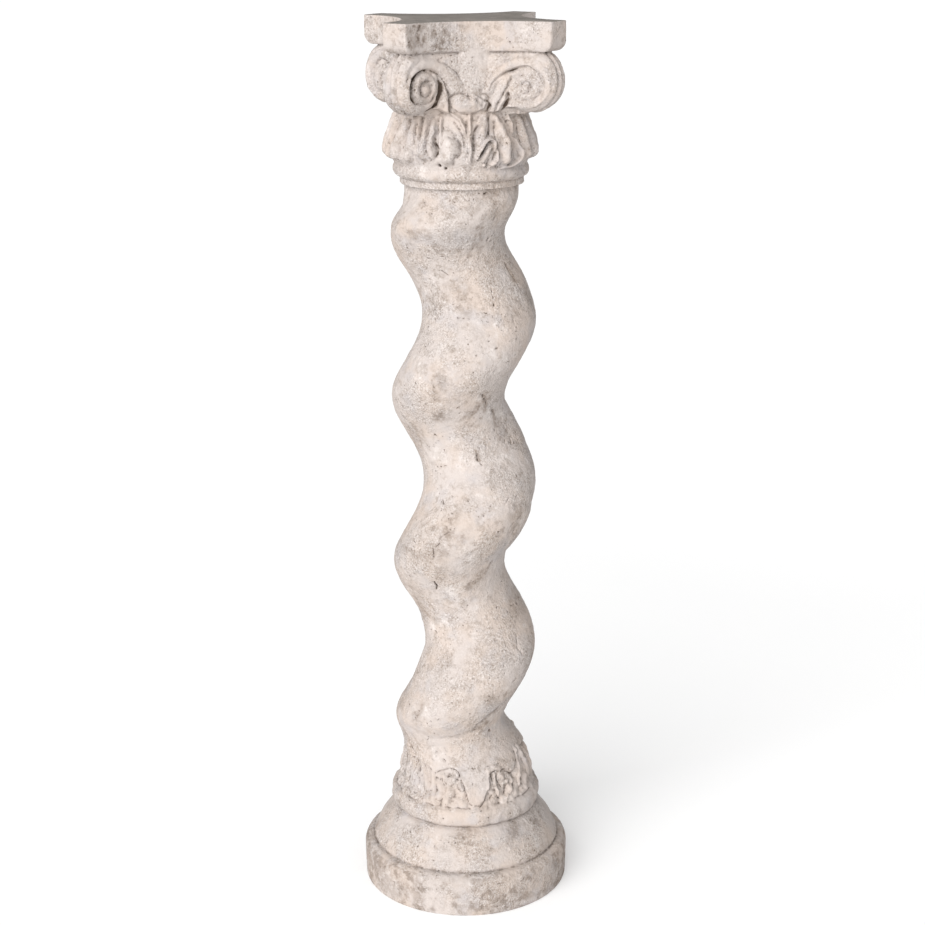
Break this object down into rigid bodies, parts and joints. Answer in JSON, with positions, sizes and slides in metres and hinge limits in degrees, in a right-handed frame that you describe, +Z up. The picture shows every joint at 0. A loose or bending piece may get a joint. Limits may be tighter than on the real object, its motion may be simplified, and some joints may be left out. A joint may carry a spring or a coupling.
{
  "type": "barley twist column",
  "caption": "Decorative cast stone column with a barley twist shaft, a capital with corner volutes and leaves, and a round stepped plinth.",
  "frame": {"origin": "centre of the underside, on the column's axis", "axes": "+Z up along the column's axis, -Y towards the front of the picture, +X to the viewer's right"},
  "size_m": [0.295, 0.295, 1.22],
  "materials": {
    "capital_stone": "matte",
    "shaft_stone": "matte",
    "plinth_stone": "matte"
  },
  "bodies": {
    "root": {"capital": "capital_stone", "twisted_shaft": "shaft_stone", "plinth": "plinth_stone"}
  },
  "joints": []
}
